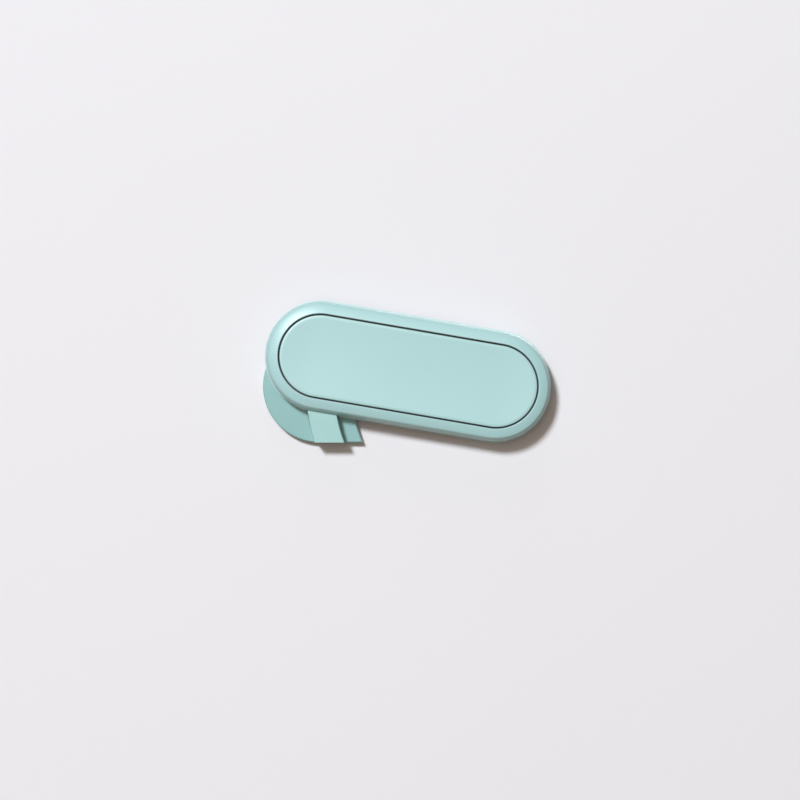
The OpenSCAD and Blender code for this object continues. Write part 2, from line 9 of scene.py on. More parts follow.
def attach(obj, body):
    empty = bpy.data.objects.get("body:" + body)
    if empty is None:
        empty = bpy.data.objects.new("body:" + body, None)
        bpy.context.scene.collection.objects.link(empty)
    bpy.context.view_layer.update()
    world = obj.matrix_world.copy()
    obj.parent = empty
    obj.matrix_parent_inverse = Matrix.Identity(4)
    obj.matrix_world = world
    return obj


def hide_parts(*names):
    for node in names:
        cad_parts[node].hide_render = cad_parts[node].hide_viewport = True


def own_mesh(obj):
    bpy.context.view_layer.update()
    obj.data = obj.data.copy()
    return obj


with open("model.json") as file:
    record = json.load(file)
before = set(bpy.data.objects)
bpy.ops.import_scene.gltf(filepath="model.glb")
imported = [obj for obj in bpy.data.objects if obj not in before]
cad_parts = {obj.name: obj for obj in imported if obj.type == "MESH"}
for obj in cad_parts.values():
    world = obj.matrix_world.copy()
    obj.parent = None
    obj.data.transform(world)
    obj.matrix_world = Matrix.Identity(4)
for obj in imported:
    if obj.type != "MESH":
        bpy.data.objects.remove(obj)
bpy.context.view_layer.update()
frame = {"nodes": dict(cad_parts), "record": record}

MM = 0.001

# Sizes that the looks share with the part, in millimetres
PIVOT_SPAN = 71.4
REST_LIFT = math.radians(9.66)
COVER_R = 22.8
FRAME_R = 22.3
FRAME_INNER_R = 20.5
OPENING_R = 17.05
PANEL_R = 16.35
SEAT_R = 18.6
ARM_TOP = 14.6
PANEL_UNDER = 13.0
LIP_UNDER = 12.85
FRAME_BASE = 6.5
COVER_FLOOR = 6.0
COVER_BACK = 4.4
FRAME_EDGE_R = 4.7
SLOT_INNER_R = 64.6
MOUTH_OUTER_R = 76.8
MOUTH_TOP = 10.4

# Where the mouth for the rail begins and ends, in degrees below the closed arm's middle line
MOUTH_ENDS = (41.1, 11.94)

# Places along and across the closed arm of the panel's springs and of the case's screws
SPRING_AT = ((16.0, 54.6), 11.0)
SPRING_SPOTS = [(along, side) for along in SPRING_AT[0] for side in (-SPRING_AT[1], SPRING_AT[1])]
SCREW_AT = (8.808, 16.155)
SCREW_SPOTS = [
    (along, side)
    for along in (-SCREW_AT[0], PIVOT_SPAN + SCREW_AT[0]) for side in (-SCREW_AT[1], SCREW_AT[1])
]

# The closed layout (x along the arm, y up, z off the door) turned into the row frame
DOOR = Matrix.Rotation(math.radians(90), 4, "X") @ Matrix.Scale(-1, 4, Vector((1, 0, 0)))
ARM = DOOR @ Matrix.Rotation(REST_LIFT, 4, "Z")


# Node trees: every node comes from add(), and sums of values add Math nodes

class Value:
    """One output of a node."""

    def __init__(self, tree, socket):
        self.tree, self.socket = tree, socket

    def _math(self, operation, *terms):
        return self.tree.add("ShaderNodeMath", {"operation": operation}, dict(enumerate(terms)))

    def __add__(self, other):
        return self._math("ADD", self, other)

    def __sub__(self, other):
        return self._math("SUBTRACT", self, other)

    def __rsub__(self, other):
        return self._math("SUBTRACT", other, self)

    def __mul__(self, other):
        return self._math("MULTIPLY", self, other)

    def __rtruediv__(self, other):
        return self._math("DIVIDE", other, self)

    __radd__ = __add__
    __rmul__ = __mul__


class Tree:
    """A shader or geometry tree."""

    def __init__(self, tree):
        self.tree = tree

    def add(self, kind, settings=None, sockets=None, out=0):
        """A new node with its settings and its sockets' values or links; returns one output."""
        node = self.tree.nodes.new(kind)
        for key, value in (settings or {}).items():
            setattr(node, key, value)
        for key, value in (sockets or {}).items():
            if isinstance(value, Value):
                self.tree.links.new(value.socket, node.inputs[key])
            else:
                node.inputs[key].default_value = value
        return Value(self, node.outputs[out]) if len(node.outputs) else node

    def mix(self, share, first, second):
        """Two colours mixed by a share."""
        return self.add(
            "ShaderNodeMix", {"data_type": "RGBA"}, {0: share, 6: first, 7: second}, out=2
        )


def linear(red, green, blue):
    """A screen colour of 0 to 255 a channel as a shader's colour."""
    return tuple((c / 255) ** 2.2 for c in (red, green, blue)) + (1.0,)


def tint(colour, factor):
    """A lighter or darker tone of a colour."""
    return tuple(min(1, c * factor) for c in colour[:3]) + (1.0,)


# Finishes

def finish_tree(name):
    """A new material with an empty tree."""
    material = bpy.data.materials.new(name)
    material.use_nodes = True
    material.node_tree.nodes.clear()
    return material, Tree(material.node_tree)


def grain(tree, scale, detail, roughness=0.5):
    """Noise over the object's own coordinates; scale is in waves a millimetre."""
    where = tree.add("ShaderNodeTexCoord", out="Object")
    return tree.add(
        "ShaderNodeTexNoise", None,
        {"Vector": where, "Scale": scale / MM, "Detail": detail, "Roughness": roughness},
    )


def moulded_plastic(name, colour, gloss_roughness, texture_height, floor=None):
    """Satin moulded ABS: a fine etched texture, faint flow shading and slightly polished edges.

    A floor colour paints the plate's face, below its smoother rail, darker than the rail: painted
    shade.
    """
    material, tree = finish_tree(name)
    etch = grain(tree, 2.4, 3)
    flow = grain(tree, 0.035, 2)
    rubbed = grain(tree, 0.4, 4, 0.6)
    pointiness = tree.add("ShaderNodeNewGeometry", out="Pointiness")
    edge = tree.add(
        "ShaderNodeMapRange", {"interpolation_type": "SMOOTHSTEP"},
        {"Value": pointiness, "From Min": 0.52, "From Max": 0.62},
    )
    tone = tree.mix(flow, tint(colour, 0.975), tint(colour, 1.025))
    tone = tree.mix(edge * 0.25, tone, tint(colour, 1.1))
    if floor:
        # painted shade: below the rail's height the plate's face is painted in the darker floor colour
        rail_side, floor_side = 8.5, 5.0
        where = tree.add("ShaderNodeTexCoord", out="Object")
        height = tree.add("ShaderNodeSeparateXYZ", None, {0: where}, out="Y")
        low = tree.add(
            "ShaderNodeMapRange", None,
            {"Value": height, "From Min": -rail_side * MM, "From Max": -floor_side * MM},
        )
        tone = tree.mix(low, tone, floor)
    # painted shade: the groove's walls turn near black with their depth
    recess = tree.add("ShaderNodeAttribute", {"attribute_name": "recess"}, out="Fac")
    tone = tree.mix(recess, tone, tint(colour, 0.03))
    roughness = gloss_roughness + (rubbed - 0.5) * 0.1 - edge * 0.06
    bump = tree.add(
        "ShaderNodeBump", None,
        {"Strength": 0.5, "Distance": texture_height * MM, "Height": etch},
    )
    shader = tree.add(
        "ShaderNodeBsdfPrincipled", None,
        {"Base Color": tone, "Roughness": roughness, "Normal": bump, "IOR": 1.68},
    )
    tree.add("ShaderNodeOutputMaterial", None, {"Surface": shader})
    return material


def closed_foam(name, colour):
    """Closed-cell foam tape: shallow cells of mixed size in a matt skin."""
    material, tree = finish_tree(name)
    where = tree.add("ShaderNodeTexCoord", out="Object")
    cells = tree.add(
        "ShaderNodeTexVoronoi", {"feature": "SMOOTH_F1"},
        {"Vector": where, "Scale": 3.2 / MM, "Smoothness": 0.4}, out="Distance",
    )
    blotch = grain(tree, 0.25, 3)
    tone = tree.mix(blotch, tint(colour, 0.94), tint(colour, 1.03))
    # painted shade: the sunken rims between the cells are painted a little darker
    tone = tree.mix(cells * 0.35, tone, tint(colour, 0.78))
    bump = tree.add(
        "ShaderNodeBump", {"invert": True}, {"Strength": 0.8, "Distance": 0.08 * MM, "Height": cells}
    )
    shader = tree.add(
        "ShaderNodeBsdfPrincipled", None,
        {"Base Color": tone, "Roughness": 0.88 + (blotch - 0.5) * 0.08, "Normal": bump},
    )
    tree.add("ShaderNodeOutputMaterial", None, {"Surface": shader})
    return material


def rolled_steel(name, colour):
    """Bright zinc-plated steel: fine rolling lines, soft clouding and a few duller spots."""
    material, tree = finish_tree(name)
    where = tree.add("ShaderNodeTexCoord", out="Object")
    stretched = tree.add(
        "ShaderNodeMapping", None, {"Vector": where, "Scale": (1.0, 1.0, 14.0)}
    )
    lines = tree.add(
        "ShaderNodeTexNoise", None, {"Vector": stretched, "Scale": 1.2 / MM, "Detail": 4}
    )
    cloud = grain(tree, 0.5, 3)
    tone = tree.mix(cloud, tint(colour, 0.86), tint(colour, 1.05))
    bump = tree.add(
        "ShaderNodeBump", None, {"Strength": 0.25, "Distance": 0.01 * MM, "Height": lines}
    )
    shader = tree.add(
        "ShaderNodeBsdfPrincipled", None,
        {
            "Base Color": tone, "Metallic": 1.0, "Roughness": 0.24 + cloud * 0.16 + lines * 0.05,
            "Normal": bump,
        },
    )
    tree.add("ShaderNodeOutputMaterial", None, {"Surface": shader})
    return material


mint = moulded_plastic("satin_mint_abs", linear(172, 213, 213), 0.41, 0.024)
pale_mint = moulded_plastic("pale_mint_abs", linear(196, 222, 221), 0.42, 0.024)
# the catch plate's mint is a darker copy of the arm's mint, which is painted shade; its face below the
# rail is painted darker still
shade_painted_plate_mint = moulded_plastic(
    "plate_mint_abs", linear(161, 205, 201), 0.48, 0.016, floor=linear(135, 182, 179)
)
acetal = moulded_plastic("white_acetal", linear(226, 226, 220), 0.36, 0.006)
foam = closed_foam("foam_tape", linear(238, 237, 231))
steel = rolled_steel("zinc_steel", linear(205, 207, 211))
FINISHES = {"mint_plastic": mint, "white_acetal": acetal, "foam_tape": foam, "steel": steel}


# Shapes

def corner(centre, radius, start, end, steps):
    """Points of an arc in degrees, round a centre."""
    return [
        (
            centre[0] + radius * math.cos(math.radians(start + (end - start) * i / steps)),
            centre[1] + radius * math.sin(math.radians(start + (end - start) * i / steps)),
        )
        for i in range(steps + 1)
    ]


def arc_from(point, radius, start, end, steps):
    """Points of an arc that leaves from a point, whose own direction from the centre is start."""
    turn = math.radians(start)
    centre = (point[0] - radius * math.cos(turn), point[1] - radius * math.sin(turn))
    return corner(centre, radius, start, end, steps)


def profile_curve(points, cyclic):
    """A profile of (distance from the arm's middle line, height), as a curve for a sweep."""
    curve = bpy.data.curves.new("profile", "CURVE")
    curve.dimensions = "3D"
    spline = curve.splines.new("POLY")
    spline.points.add(len(points) - 1)
    for point, (out, height) in zip(spline.points, points):
        point.co = (out, -height, 0, 1)
    spline.use_cyclic_u = cyclic
    thing = bpy.data.objects.new("profile", curve)
    bpy.context.scene.collection.objects.link(thing)
    return thing


def geometry_tree(name, inputs):
    """A geometry tree with named inputs; returns it and a function that reads an input."""
    group = bpy.data.node_groups.new(name, "GeometryNodeTree")
    group.interface.new_socket("Geometry", in_out="OUTPUT", socket_type="NodeSocketGeometry")
    for label, (kind, value) in inputs.items():
        socket = group.interface.new_socket(label, in_out="INPUT", socket_type=kind)
        if value is not None:
            socket.default_value = value
    tree = Tree(group)
    source = group.nodes.new("NodeGroupInput")
    return group, tree, lambda label: Value(tree, source.outputs[label])


def close_tree(tree, shape, material):
    """Ends a tree in real geometry with its material."""
    solid = tree.add("GeometryNodeRealizeInstances", None, {0: shape})
    finished = tree.add("GeometryNodeSetMaterial", None, {"Geometry": solid, "Material": material})
    tree.add("NodeGroupOutput", None, {0: finished})


def rim_sweep():
    """Carries a profile round the arm's oblong outline."""
    group, tree, read = geometry_tree("rim_sweep", {
        "Span": ("NodeSocketFloat", PIVOT_SPAN), "Rim radius": ("NodeSocketFloat", COVER_R),
        "Points": ("NodeSocketInt", 256), "Profile": ("NodeSocketObject", None),
        "Material": ("NodeSocketMaterial", None),
    })
    radius = read("Rim radius")
    ring = tree.add(
        "GeometryNodeCurvePrimitiveCircle", None, {"Resolution": read("Points"), "Radius": radius}
    )
    # half a step of turn, so that no point lies where the halves are drawn apart
    turn = tree.add("ShaderNodeCombineXYZ", None, {"Z": math.pi / read("Points")})
    ring = tree.add("GeometryNodeTransform", None, {"Geometry": ring, "Rotation": turn})
    across = tree.add(
        "ShaderNodeSeparateXYZ", None, {0: tree.add("GeometryNodeInputPosition")}, out="X"
    )
    far = tree.add("ShaderNodeMath", {"operation": "GREATER_THAN"}, {0: across, 1: 0.0})
    path = tree.add(
        "GeometryNodeStoreNamedAttribute", {"data_type": "FLOAT", "domain": "POINT"},
        {"Geometry": ring, "Name": "far_half", "Value": far},
    )
    outline = tree.add("GeometryNodeObjectInfo", None, {"Object": read("Profile")}, out="Geometry")
    inward = tree.add("ShaderNodeCombineXYZ", None, {"X": radius * -1})
    outline = tree.add("GeometryNodeTransform", None, {"Geometry": outline, "Translation": inward})
    skin = tree.add(
        "GeometryNodeCurveToMesh", None, {"Curve": path, "Profile Curve": outline}
    )
    # the far half is drawn away along the arm after the sweep, so that both ends stay true arcs
    half = tree.add("GeometryNodeInputNamedAttribute", {"data_type": "FLOAT"}, {"Name": "far_half"})
    apart = tree.add("ShaderNodeCombineXYZ", None, {"X": half * read("Span")})
    skin = tree.add("GeometryNodeSetPosition", None, {"Geometry": skin, "Offset": apart})
    close_tree(tree, skin, read("Material"))
    return group


def coil_tree():
    """Helical springs standing at the corners of a grid."""
    group, tree, read = geometry_tree("coil_springs", {
        "Coil radius": ("NodeSocketFloat", 1.85), "Wire radius": ("NodeSocketFloat", 0.25),
        "Rise": ("NodeSocketFloat", 6.4), "Turns": ("NodeSocketFloat", 6.0),
        "End pitch": ("NodeSocketFloat", 0.66),
        "Apart along": ("NodeSocketFloat", 38.0), "Apart across": ("NodeSocketFloat", 22.0),
        "Along": ("NodeSocketInt", 2), "Across": ("NodeSocketInt", 2),
        "Material": ("NodeSocketMaterial", None),
    })
    path = tree.add(
        "GeometryNodeCurveSpiral", None,
        {
            "Resolution": 32, "Rotations": read("Turns"), "Start Radius": read("Coil radius"),
            "End Radius": read("Coil radius"), "Height": 0.0,
        },
    )
    # the first and last turns lie closer together than the ones between them
    turn = tree.add("GeometryNodeSplineParameter", out="Factor") * read("Turns")
    middle = tree.add("ShaderNodeMapRange", None, {
        "Value": turn, "From Min": 1.0, "From Max": read("Turns") - 1,
        "To Max": read("Rise") - read("End pitch") * read("Turns"),
    })
    height = tree.add("ShaderNodeCombineXYZ", None, {"Z": turn * read("End pitch") + middle})
    path = tree.add("GeometryNodeSetPosition", None, {"Geometry": path, "Offset": height})
    wire = tree.add(
        "GeometryNodeCurvePrimitiveCircle", None, {"Resolution": 12, "Radius": read("Wire radius")}
    )
    coil = tree.add(
        "GeometryNodeCurveToMesh", None,
        {"Curve": path, "Profile Curve": wire, "Fill Caps": True},
    )
    spots = tree.add(
        "GeometryNodeMeshGrid", None,
        {
            "Size X": read("Apart along"), "Size Y": read("Apart across"),
            "Vertices X": read("Along"), "Vertices Y": read("Across"),
        },
    )
    coils = tree.add("GeometryNodeInstanceOnPoints", None, {"Points": spots, "Instance": coil})
    close_tree(tree, coils, read("Material"))
    return group


def corner_tree():
    """Copies of a shape at the four corners of a rectangle."""
    group, tree, read = geometry_tree("corner_copies", {
        "Shape": ("NodeSocketObject", None), "Apart along": ("NodeSocketFloat", 1.0),
        "Apart across": ("NodeSocketFloat", 1.0), "Material": ("NodeSocketMaterial", None),
    })
    shape = tree.add("GeometryNodeObjectInfo", None, {"Object": read("Shape")}, out="Geometry")
    spots = tree.add(
        "GeometryNodeMeshGrid", None,
        {
            "Size X": read("Apart along"), "Size Y": read("Apart across"),
            "Vertices X": 2, "Vertices Y": 2,
        },
    )
    copies = tree.add("GeometryNodeInstanceOnPoints", None, {"Points": spots, "Instance": shape})
    close_tree(tree, copies, read("Material"))
    return group


def grow(group, **values):
    """Runs a geometry tree and keeps its result as a plain mesh, in millimetres."""
    holder = bpy.data.objects.new("holder", bpy.data.meshes.new("holder"))
    bpy.context.scene.collection.objects.link(holder)
    modifier = holder.modifiers.new("grow", "NODES")
    modifier.node_group = group
    sockets = {item.name: item.identifier for item in group.interface.items_tree}
    for label, value in values.items():
        modifier[sockets[label.replace("_", " ").capitalize()]] = value
    bpy.context.view_layer.update()
    evaluated = holder.evaluated_get(bpy.context.evaluated_depsgraph_get())
    mesh = bpy.data.meshes.new_from_object(evaluated)
    bpy.data.objects.remove(holder)
    return mesh


def outward(shape):
    """Turns a closed shape's faces outwards."""
    bmesh.ops.recalc_face_normals(shape, faces=shape.faces)
    if shape.calc_volume(signed=True) < 0:
        bmesh.ops.reverse_faces(shape, faces=shape.faces)


def clean(mesh, merge=1e-3):
    """Closes seams and poles, and turns faces outwards."""
    shape = bmesh.new()
    shape.from_mesh(mesh)
    bmesh.ops.remove_doubles(shape, verts=shape.verts, dist=merge)
    bmesh.ops.dissolve_degenerate(shape, edges=shape.edges, dist=merge)
    outward(shape)
    shape.to_mesh(mesh)
    shape.free()


def combine(mesh, other, operation):
    """Joins one closed mesh to another, or takes it out of it."""
    first = bpy.data.objects.new("first", mesh)
    second = bpy.data.objects.new("second", other)
    for thing in (first, second):
        bpy.context.scene.collection.objects.link(thing)
    modifier = first.modifiers.new("combine", "BOOLEAN")
    modifier.operation, modifier.solver, modifier.object = operation, "EXACT", second
    bpy.context.view_layer.update()
    evaluated = first.evaluated_get(bpy.context.evaluated_depsgraph_get())
    result = bpy.data.meshes.new_from_object(evaluated)
    for thing in (first, second):
        bpy.data.objects.remove(thing)
    return result


def gather(meshes):
    """Several meshes as one."""
    shape = bmesh.new()
    for mesh in meshes:
        shape.from_mesh(mesh)
    together = bpy.data.meshes.new("together")
    shape.to_mesh(together)
    shape.free()
    return together


def loft(rows):
    """A closed shape through rows of points, with a flat face on the first and the last."""
    shape = bmesh.new()
    rings = [[shape.verts.new(point) for point in row] for row in rows]
    for first, second in zip(rings, rings[1:]):
        for k in range(len(first)):
            after = (k + 1) % len(first)
            shape.faces.new((first[k], first[after], second[after], second[k]))
    shape.faces.new(rings[0])
    shape.faces.new(reversed(rings[-1]))
    outward(shape)
    mesh = bpy.data.meshes.new("loft")
    shape.to_mesh(mesh)
    shape.free()
    return mesh


def prism(outline, low, high):
    """An upright block on an outline, between two heights."""
    return loft([[(x, y, z) for x, y in outline] for z in (low, high)])


def round_bar(spot, radius, low, high, sides=48):
    """An upright round bar."""
    return prism(corner(spot, radius, 0, 360, sides)[:-1], low, high)


def oblong(low, high):
    """Corners of a rectangle."""
    return [low, (high[0], low[1]), high, (low[0], high[1])]


def arc_block(r_in, r_out, low, high, start, end, steps=48):
    """A block bent round the pivot, between angles in degrees."""
    rows = []
    for i in range(steps + 1):
        angle = math.radians(start + (end - start) * i / steps)
        rows.append([
            (r * math.cos(angle), r * math.sin(angle), height)
            for r, height in ((r_in, low), (r_out, low), (r_out, high), (r_in, high))
        ])
    return loft(rows)


def mark_groove(mesh):
    """Records how deep each point of the groove's walls lies, for the painted shade in it."""
    shade_top, shade_depth, groove_floor = ARM_TOP - 0.2, 0.8, LIP_UNDER - 1.2
    depth = mesh.attributes.new("recess", "FLOAT", "POINT")
    for point, value in zip(mesh.vertices, depth.data):
        x, y, z = point.co
        out = math.hypot(x - min(max(x, 0.0), PIVOT_SPAN), y)
        reach = OPENING_R + 0.05 if z > LIP_UNDER else SEAT_R
        inside = PANEL_R - 0.1 < out < reach and groove_floor < z < shade_top
        value.value = min(1.0, (shade_top - z) / shade_depth) if inside else 0.0


def place(name, mesh, matrix, body, slot, nodes, sharp=40):
    """Puts a finished mesh, drawn in millimetres, into the row frame, in place of CAD nodes."""
    mesh.transform(Matrix.Scale(MM, 4) @ matrix)
    shape = bmesh.new()
    shape.from_mesh(mesh)
    outward(shape)
    shape.to_mesh(mesh)
    shape.free()
    mesh.name = name
    mesh.materials.clear()
    mesh.materials.append(FINISHES[slot])
    mesh.shade_smooth()
    mesh.set_sharp_from_angle(angle=math.radians(sharp))
    piece = bpy.data.objects.new(name, mesh)
    bpy.context.scene.collection.objects.link(piece)
    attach(piece, body)
    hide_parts(*nodes)
    return piece


def swept(sweep, points, cyclic):
    """A mesh swept round the arm's outline from a profile."""
    outline = profile_curve(points, cyclic)
    mesh = grow(sweep, profile=outline, material=mint)
    bpy.data.objects.remove(outline)
    clean(mesh)
    return mesh


# Camera, light and stage

def make_camera():
    """Straight on, at the distance and place that the photograph's framing gives."""
    distance, width, across, up = 665.0, 320.0, -38.5, -5.55
    data = bpy.data.cameras.new("camera")
    data.sensor_width = 36.0
    data.lens = data.sensor_width * distance / width
    data.clip_start, data.clip_end = 0.01, 20.0
    camera = bpy.data.objects.new("camera", data)
    camera.location = (across * MM, -(distance + ARM_TOP) * MM, up * MM)
    camera.rotation_euler = (math.radians(90), 0, 0)
    bpy.context.scene.collection.objects.link(camera)
    bpy.context.scene.camera = camera


def lamp(name, direction, distance, size, watts, colour):
    """A round lamp in a direction from the lock, at a distance in metres, that faces it."""
    data = bpy.data.lights.new(name, "AREA")
    data.shape, data.size, data.energy, data.color = "DISK", size, watts, colour
    thing = bpy.data.objects.new(name, data)
    middle = Vector((-36 * MM, 0, 6 * MM))
    towards = Vector(direction).normalized()
    thing.location = middle + towards * distance
    thing.rotation_euler = towards.to_track_quat("Z", "Y").to_euler()
    bpy.context.scene.collection.objects.link(thing)


def make_lights():
    """A cool key light from the upper left, a broad warm fill, and weak ones from above and behind."""
    lamp("key_softbox", (-0.38, -1.0, 0.49), 6.0, 1.02, 312.7, (0.885, 0.943, 1.0))
    lamp("fill_softbox", (-0.2, -1.0, 0.22), 3.5, 2.62, 22.6, (1.0, 0.87, 0.80))
    lamp("top_softbox", (-0.1, -0.35, 1.0), 1.0, 0.7, 0.9, (1.0, 1.0, 1.0))
    lamp("back_softbox", (0.35, 1.0, 0.5), 1.3, 0.6, 12.0, (1.0, 1.0, 1.0))


def make_world():
    """A weak warm fill, and a pale background for what the camera and gloss see."""
    world = bpy.data.worlds.new("studio")
    world.use_nodes = True
    world.node_tree.nodes.clear()
    tree = Tree(world.node_tree)
    seen = [
        tree.add("ShaderNodeLightPath", out=name) for name in ("Is Camera Ray", "Is Transmission Ray")
    ]
    shown = seen[0] + seen[1] + tree.add("ShaderNodeLightPath", out="Is Glossy Ray") * 0.3
    fill = tree.add(
        "ShaderNodeBackground", None, {"Color": (1.0, 0.68, 0.4, 1.0), "Strength": 0.07}
    )
    pale = tree.add(
        "ShaderNodeBackground", None, {"Color": linear(240, 240, 243), "Strength": 1.0}
    )
    both = tree.add("ShaderNodeMixShader", None, {0: shown, 1: fill, 2: pale})
    tree.add("ShaderNodeOutputWorld", None, {"Surface": both})
    bpy.context.scene.world = world


def stage_finish(name, colour, returned):
    """Pale paint, seen and lit from its front only, and the colour of the light that it gives back."""
    material, tree = finish_tree(name)
    texture = grain(tree, 0.004, 3)
    tone = tree.mix(texture, tint(colour, 0.99), tint(colour, 1.01))
    spread = tree.add("ShaderNodeLightPath", out="Is Diffuse Ray")
    tone = tree.mix(spread, tone, returned)
    paint = tree.add("ShaderNodeBsdfDiffuse", None, {"Color": tone})
    through = tree.add("ShaderNodeBsdfTransparent")
    back = tree.add("ShaderNodeNewGeometry", out="Backfacing")
    # light from behind reaches what is seen from behind, and isn't passed on to the board's front
    shadow = tree.add("ShaderNodeLightPath", out="Is Shadow Ray")
    depth = tree.add("ShaderNodeLightPath", out="Diffuse Depth")
    straight = tree.add("ShaderNodeMath", {"operation": "LESS_THAN"}, {0: depth, 1: 0.5})
    share = tree.add("ShaderNodeMath", {"operation": "MAXIMUM"}, {0: back, 1: shadow * straight})
    both = tree.add("ShaderNodeMixShader", None, {0: share, 1: paint, 2: through})
    tree.add("ShaderNodeOutputMaterial", None, {"Surface": both})
    return material


def board(name, corners, material):
    """A flat board of the stage."""
    mesh = bpy.data.meshes.new(name)
    mesh.from_pydata([Vector(c) for c in corners], [], [(0, 1, 2, 3)])
    mesh.materials.append(material)
    thing = bpy.data.objects.new(name, mesh)
    bpy.context.scene.collection.objects.link(thing)


def make_stage():
    """The doors' plane behind the lock, and a floor below it."""
    pale = stage_finish("pale_board", linear(240, 239, 242), linear(167, 166, 168))
    ground = stage_finish("pale_ground", linear(240, 239, 242), linear(140, 124, 106))
    side, low, high, behind = 1.6, -0.22, 1.4, 0.0002
    board(
        "backdrop",
        [(-side, behind, low), (side, behind, low), (side, behind, high), (-side, behind, high)],
        pale,
    )
    board(
        "floor",
        [(-side, -side, low), (side, -side, low), (side, side, low), (-side, side, low)],
        ground,
    )


# The arm's case

def make_arm_frame(sweep):
    """The rounded rim of the arm, with its lip at the groove and the mouth for the rail."""
    # the rim leaves its lip in a wide arc, turns down over a shoulder and ends in a steep flank
    foot_r, lip, wide_r, shoulder_r = 0.12, 0.28, 16.0, 1.2
    lip_turn, wide_turn, shoulder_turn = 78, 66.7, 33
    inner_edge = FRAME_EDGE_R - (FRAME_R - FRAME_INNER_R)
    meets = math.degrees(math.acos((SEAT_R - FRAME_INNER_R + inner_edge) / inner_edge))
    lip_arc = corner((OPENING_R + lip, ARM_TOP - lip), lip, lip_turn, 180, 10)
    wide_arc = arc_from(lip_arc[0], wide_r, lip_turn, wide_turn, 16)
    shoulder = arc_from(wide_arc[-1], shoulder_r, wide_turn, shoulder_turn, 12)
    flank_r = (FRAME_R - shoulder[-1][0]) / (1 - math.cos(math.radians(shoulder_turn)))
    flank = arc_from(shoulder[-1], flank_r, shoulder_turn, 0, 16)
    points = (
        [(FRAME_R - foot_r, FRAME_BASE)]
        + corner((FRAME_R - foot_r, FRAME_BASE + foot_r), foot_r, -90, 0, 3)[1:]
        + flank[::-1]
        + shoulder[-2::-1]
        + wide_arc[-2:0:-1]
        + lip_arc
        + [(OPENING_R, LIP_UNDER), (SEAT_R, LIP_UNDER)]
        + corner((FRAME_INNER_R - inner_edge, ARM_TOP - FRAME_EDGE_R), inner_edge, meets, 0, 6)
        + [(FRAME_INNER_R, FRAME_BASE)]
    )
    mesh = swept(sweep, points, True)
    boss_r, boss_low, boss_high = 2.6, 7.05, 9.85
    bore_r, bore_low, bore_high = 1.0, 6.0, 8.65
    bosses = gather([round_bar(spot, boss_r, boss_low, boss_high) for spot in SCREW_SPOTS])
    mesh = combine(mesh, bosses, "UNION")
    openings = [round_bar(spot, bore_r, bore_low, bore_high) for spot in SCREW_SPOTS]
    low_end, foot_end = MOUTH_ENDS
    openings.append(
        arc_block(SLOT_INNER_R, MOUTH_OUTER_R, FRAME_BASE - 1, MOUTH_TOP, -low_end, -foot_end)
    )
    mesh = combine(mesh, gather(openings), "DIFFERENCE")
    mark_groove(mesh)
    place("arm_frame_rim", mesh, ARM, "arm", "mint_plastic", ["arm_frame"])


def make_panel(sweep):
    """The press panel: a faintly dished face, a soft roll to a fine lip, the skirt and its flange."""
    lip, dish, flat, roll_turn, face_steps = 0.28, 0.4, 15.0, 79, 24
    skirt_in, stop_r, stop_top, stop_low = 14.9, 18.2, 12.8, 11.85
    rise = 90 + math.degrees(math.atan(2 * dish / flat))
    lip_start = PANEL_R - lip * (1 - math.cos(math.radians(roll_turn)))
    roll_r = (lip_start - flat) / (math.cos(math.radians(roll_turn)) - math.cos(math.radians(rise)))
    crest = roll_r * (1 - math.sin(math.radians(rise)))
    face = [
        (flat * share, ARM_TOP - crest - dish * (1 - share ** 2))
        for share in (i / face_steps for i in range(face_steps + 1))
    ]
    roll = arc_from(face[-1], roll_r, rise, roll_turn, 12)
    points = (
        face
        + roll[1:]
        + arc_from(roll[-1], lip, roll_turn, 0, 8)[1:]
        + [
            (PANEL_R, stop_top), (stop_r, stop_top), (stop_r, stop_low), (skirt_in, stop_low),
            (skirt_in, PANEL_UNDER), (0, PANEL_UNDER),
        ]
    )
    mesh = swept(sweep, points, False)
    root, leg_front, leg_foot, leg_bottom, leg_rise, leg_half = 13.8, 80.2, 1.2, 7.7, 2.15, 2.0
    leg_back = leg_front + leg_foot + leg_rise
    leg = prism([
        (leg_front, leg_bottom), (leg_front + leg_foot, leg_bottom), (leg_back, leg_bottom + leg_rise),
        (leg_back, root), (leg_front, root),
    ], -leg_half, leg_half)
    leg.transform(Matrix.Rotation(math.radians(90), 4, "X"))
    pin_r, pin_length = 1.3, 2.1
    pins = [round_bar(spot, pin_r, PANEL_UNDER - pin_length, root) for spot in SPRING_SPOTS]
    rib_start, rib_side, rib_half, rib_depth = 10.0, 6.5, 0.6, 1.0
    ribs = [
        prism(
            oblong((rib_start, side - rib_half), (SLOT_INNER_R, side + rib_half)),
            PANEL_UNDER - rib_depth, root,
        )
        for side in (-rib_side, rib_side)
    ]
    mesh = combine(mesh, gather([leg, *pins, *ribs]), "UNION")
    mark_groove(mesh)
    place("press_panel_face", mesh, ARM, "panel", "mint_plastic", ["press_panel"])


# The small pieces

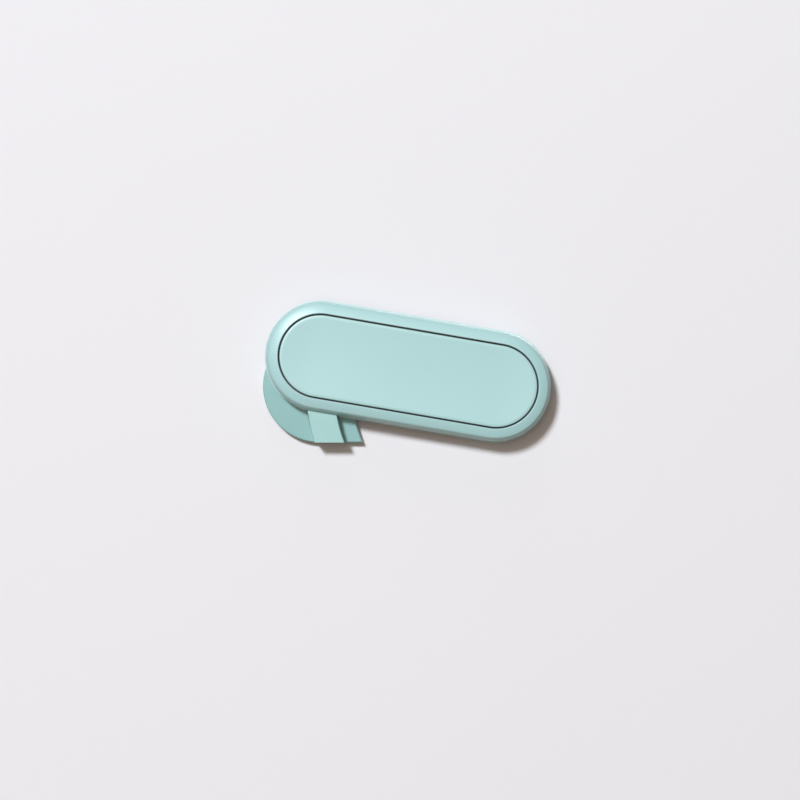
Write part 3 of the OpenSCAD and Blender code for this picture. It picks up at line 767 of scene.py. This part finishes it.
def make_springs():
    """The panel's four springs and the pawl's spring, drawn at one length; in the lock they shorten
    with the panel's travel.
    """
    coils = coil_tree()
    wire_lift = 0.3
    near, far = SPRING_AT[0]
    mesh = grow(coils, apart_along=far - near, material=steel)
    mesh.transform(Matrix.Translation(((near + far) / 2, 0.0, COVER_FLOOR + wire_lift)))
    nodes = ["panel_spring_" + n for n in ("inner_upper", "inner_lower", "outer_upper", "outer_lower")]
    springs = place("panel_springs", mesh, ARM, "arm", "steel", nodes, 60)
    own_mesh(springs)
    start, rise, seat, height, wire_end = 85.75, 4.35, 90.25, 7.975, 0.2
    mesh = grow(
        coils, coil_radius=1.3, wire_radius=0.15, rise=rise, turns=4.0, end_pitch=0.46, along=1,
        across=1, material=steel,
    )
    mesh.transform(
        Matrix.Translation((start, 0.0, height)) @ Matrix.Rotation(math.radians(90), 4, "Y")
    )
    spring = place("pawl_coil", mesh, ARM, "arm", "steel", ["pawl_spring"], 60)
    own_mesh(spring)


def turned(profile, sides=48):
    """A closed body turned round z from its profile of (radius, height), flat at both ends."""
    return loft([
        [(x, y, height) for x, y in corner((0.0, 0.0), radius, 0, 360, sides)[:-1]]
        for radius, height in profile
    ])


def cross(length, width):
    """Corners of a cross with equal arms."""
    far, near = length / 2, width / 2
    arm = [(far, -near), (far, near), (near, near)]
    return [
        (x * math.cos(turn) - y * math.sin(turn), x * math.sin(turn) + y * math.cos(turn))
        for turn in (math.radians(90 * quarter) for quarter in range(4)) for x, y in arm
    ]


def make_screws():
    """The four screws that hold the case together, driven in from the back."""
    head_r, dome_r, shank_r, head_h, length = 1.9, 0.8, 0.95, 1.2, 3.85
    taper, tip_r, recess_width, recess_depth, sunk = 0.6, 0.35, 0.8, 0.8, 0.2
    body = turned(
        corner((head_r - dome_r, dome_r), dome_r, -90, 0, 8)
        + [(head_r, head_h), (shank_r, head_h), (shank_r, length - taper), (tip_r, length)]
    )
    recess = prism(cross(2 * shank_r, recess_width), -0.5, recess_depth)
    body = combine(body, recess, "DIFFERENCE")
    shape = bpy.data.objects.new("screw", body)
    bpy.context.scene.collection.objects.link(shape)
    mesh = grow(
        corner_tree(), shape=shape, apart_along=PIVOT_SPAN + 2 * SCREW_AT[0],
        apart_across=2 * SCREW_AT[1], material=steel,
    )
    bpy.data.objects.remove(shape)
    mesh.transform(Matrix.Translation((PIVOT_SPAN / 2, 0.0, COVER_BACK + sunk)))
    place("case_screws", mesh, ARM, "arm", "steel", ["cover_screws"])


def soft_rows(outline, thickness=1.0):
    """Rows of a foam pad whose cut side bulges a little between its two faces."""
    sides = (
        (0.001, 0.22), (0.04, 0.1), (0.16, 0.03), (0.5, 0.0), (0.84, 0.03), (0.96, 0.1), (1.0, 0.22),
    )
    return [[(x, y, share * thickness) for x, y in outline(inset)] for share, inset in sides]


def make_pads():
    """The adhesive foam pads between the plates and the doors."""
    disc_r, outer_r, bay_r = 21.2, 21.8, 59.3

    def disc(inset):
        return corner((0.0, 0.0), disc_r - inset, 0, 360, 160)[:-1]

    def crescent(inset):
        out, inner = outer_r - inset, bay_r + inset
        reach = math.degrees(math.asin(out / inner))
        round_side = corner((PIVOT_SPAN, 0.0), out, -90, 90, 96)
        return round_side + corner((0.0, 0.0), inner, reach, -reach, 60)

    pads = (("catch_foam", crescent, "catch_pad"), ("pivot_foam", disc, "pivot_pad"))
    for name, outline, node in pads:
        pad = place(name, loft(soft_rows(outline)), DOOR, "door_plates", "foam_tape", [node])


# Everything in its place

make_camera()
make_lights()
make_world()
make_stage()

rim = rim_sweep()
make_arm_frame(rim)
make_panel(rim)
make_springs()
make_screws()
make_pads()

own_finishes = {"catch_plate": shade_painted_plate_mint, "rear_cover": pale_mint}
shown_slots = {p["node"]: p["material_slot"] for p in frame["record"]["subparts"]}
for node, thing in frame["nodes"].items():
    if thing.hide_render:
        continue
    thing.data.materials.clear()
    finish = own_finishes.get(node, FINISHES[shown_slots[node]])
    thing.data.materials.append(finish)

bpy.context.scene.view_settings.view_transform = "Standard"
